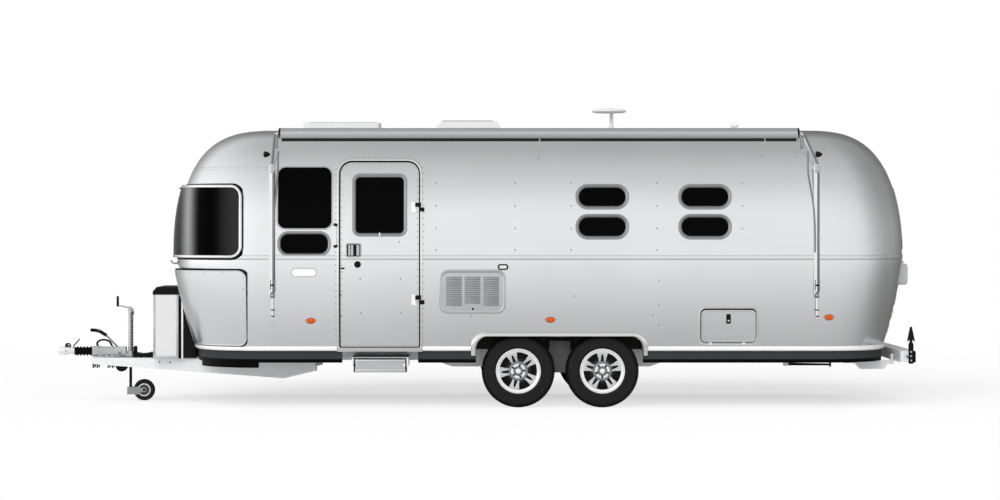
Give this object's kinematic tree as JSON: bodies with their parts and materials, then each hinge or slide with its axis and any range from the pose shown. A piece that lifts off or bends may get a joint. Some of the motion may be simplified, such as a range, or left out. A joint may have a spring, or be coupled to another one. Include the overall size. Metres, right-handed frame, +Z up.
{
  "type": "travel caravan",
  "caption": "Twin-axle towed caravan with a rounded riveted aluminium body, drawbar, jockey wheel, door, hatches and lifting window guard.",
  "frame": {"origin": "on the ground, at the middle of the whole trailer's length and width", "axes": "+X along the trailer towards its tail, with the coupling at -X; +Z up; the entry door on the -Y side"},
  "size_m": [8.5, 2.6019, 2.931],
  "materials": {
    "skin": "satin, riveted",
    "bright_trim": "polished",
    "galvanised_steel": "galvanised",
    "black_plastic": "moulded",
    "floor_board": "sealed ply",
    "tinted_glass": "dark tint",
    "stainless_steel": "polished sheet",
    "coupling_steel": "black enamel",
    "white_plastic": "moulded",
    "rubber": "moulded",
    "chrome_trim": "bright",
    "dark_guard": "gloss, dark tint",
    "tyre": "moulded",
    "alloy": "machined",
    "amber_lens": "clear amber"
  },
  "bodies": {
    "caravan": {"floor_pan": "floor_board", "underbody_skirt": "black_plastic", "left_wall": "skin", "right_wall": "skin", "roof_panel": "skin", "front_cap_lower": "skin", "front_cap_upper": "skin", "rear_cap_lower": "skin", "rear_cap_upper": "skin", "window_frames": "bright_trim", "window_panes": "tinted_glass", "door_surround": "bright_trim", "side_trims": "bright_trim", "fridge_vent": "bright_trim", "stone_guards": "stainless_steel", "rock_guard_hinges": "black_plastic", "gas_locker": "bright_trim", "chassis_frame": "galvanised_steel", "axles": "galvanised_steel", "drawbar": "galvanised_steel", "coupling_head": "coupling_steel", "overrun_housing": "coupling_steel", "handbrake_lever": "coupling_steel", "jockey_mast": "galvanised_steel", "awning_roller": "bright_trim", "awning_arms": "bright_trim", "skylight": "white_plastic", "roof_vent_base": "white_plastic", "roof_aerial_and_cowl": "white_plastic", "rear_bumper": "galvanised_steel", "marker_arms": "rubber", "number_plate_holder": "white_plastic", "grab_handle": "chrome_trim", "hatch_hinges": "bright_trim", "step_frame": "black_plastic", "side_lamps": "amber_lens"},
    "entry_door": {"entry_door": "skin", "entry_door_window": "tinted_glass", "entry_door_fittings": "bright_trim"},
    "left_hatch": {"left_hatch": "skin"},
    "right_hatch": {"right_hatch": "skin"},
    "gas_locker_lid": {"gas_locker_lid": "black_plastic"},
    "rock_guard": {"rock_guard": "dark_guard"},
    "jockey_stem": {"jockey_stem": "galvanised_steel"},
    "jockey_fork": {"jockey_fork": "galvanised_steel"},
    "jockey_wheel": {"jockey_wheel": "rubber"},
    "roof_vent_lid": {"roof_vent_lid": "white_plastic"},
    "step_tread": {"step_tread": "bright_trim"},
    "steady_front_left": {"steady_front_left": "galvanised_steel"},
    "wheel_front_left": {"tyre_front_left": "tyre", "rim_front_left": "alloy"},
    "steady_front_right": {"steady_front_right": "galvanised_steel"},
    "wheel_front_right": {"tyre_front_right": "tyre", "rim_front_right": "alloy"},
    "steady_rear_left": {"steady_rear_left": "galvanised_steel"},
    "wheel_rear_left": {"tyre_rear_left": "tyre", "rim_rear_left": "alloy"},
    "steady_rear_right": {"steady_rear_right": "galvanised_steel"},
    "wheel_rear_right": {"tyre_rear_right": "tyre", "rim_rear_right": "alloy"}
  },
  "joints": [
    {"name": "door_swing", "type": "hinge", "parent": "caravan", "child": "entry_door", "pos_m": [-0.597, -1.268, 1.478], "axis": [0, 0, 1], "range_deg": [0, 170]},
    {"name": "left_hatch_swing", "type": "hinge", "parent": "caravan", "child": "left_hatch", "pos_m": [2.37, -1.219, 0.628], "axis": [1, 0, 0], "range_deg": [0, 90]},
    {"name": "right_hatch_swing", "type": "hinge", "parent": "caravan", "child": "right_hatch", "pos_m": [2.37, 1.219, 0.628], "axis": [-1, 0, 0], "range_deg": [0, 90]},
    {"name": "locker_lid_lift", "type": "hinge", "parent": "caravan", "child": "gas_locker_lid", "pos_m": [-3, 0, 1.148], "axis": [0, 1, 0], "range_deg": [0, 65]},
    {"name": "rock_guard_lift", "type": "hinge", "parent": "caravan", "child": "rock_guard", "pos_m": [-2.99919, 0, 2.128], "axis": [0, 1, 0], "range_deg": [0, 45]},
    {"name": "roof_vent_lift", "type": "hinge", "parent": "caravan", "child": "roof_vent_lid", "pos_m": [-0.452, 0, 2.7283], "axis": [0, -1, 0], "range_deg": [0, 50]},
    {"name": "step_slide", "type": "slide", "parent": "caravan", "child": "step_tread", "axis": [0, -1, 0], "range_m": [0, 0.25]},
    {"name": "jockey_lift", "type": "slide", "parent": "caravan", "child": "jockey_stem", "axis": [0, 0, 1], "range_m": [0, 0.1]},
    {"name": "jockey_swivel", "type": "hinge", "parent": "jockey_stem", "child": "jockey_fork", "pos_m": [-3.519, 0, 0.14], "axis": [0, 0, 1], "continuous": true},
    {"name": "jockey_spin", "type": "hinge", "parent": "jockey_fork", "child": "jockey_wheel", "pos_m": [-3.381, 0, 0.108], "axis": [0, 1, 0], "continuous": true},
    {"name": "steady_front_left_drop", "type": "hinge", "parent": "caravan", "child": "steady_front_left", "pos_m": [-2.2, -0.7, 0.4], "axis": [0, -1, 0], "range_deg": [0, 60]},
    {"name": "steady_front_right_drop", "type": "hinge", "parent": "caravan", "child": "steady_front_right", "pos_m": [-2.2, 0.7, 0.4], "axis": [0, -1, 0], "range_deg": [0, 60]},
    {"name": "steady_rear_left_drop", "type": "hinge", "parent": "caravan", "child": "steady_rear_left", "pos_m": [2.98, -0.7, 0.4], "axis": [0, 1, 0], "range_deg": [0, 60]},
    {"name": "steady_rear_right_drop", "type": "hinge", "parent": "caravan", "child": "steady_rear_right", "pos_m": [2.98, 0.7, 0.4], "axis": [0, 1, 0], "range_deg": [0, 60]},
    {"name": "wheel_front_left_spin", "type": "hinge", "parent": "caravan", "child": "wheel_front_left", "pos_m": [0.351, -1.053, 0.353], "axis": [0, 1, 0], "continuous": true},
    {"name": "wheel_front_right_spin", "type": "hinge", "parent": "caravan", "child": "wheel_front_right", "pos_m": [0.351, 1.053, 0.353], "axis": [0, 1, 0], "continuous": true},
    {"name": "wheel_rear_left_spin", "type": "hinge", "parent": "caravan", "child": "wheel_rear_left", "pos_m": [1.162, -1.053, 0.353], "axis": [0, 1, 0], "continuous": true},
    {"name": "wheel_rear_right_spin", "type": "hinge", "parent": "caravan", "child": "wheel_rear_right", "pos_m": [1.162, 1.053, 0.353], "axis": [0, 1, 0], "continuous": true}
  ]
}
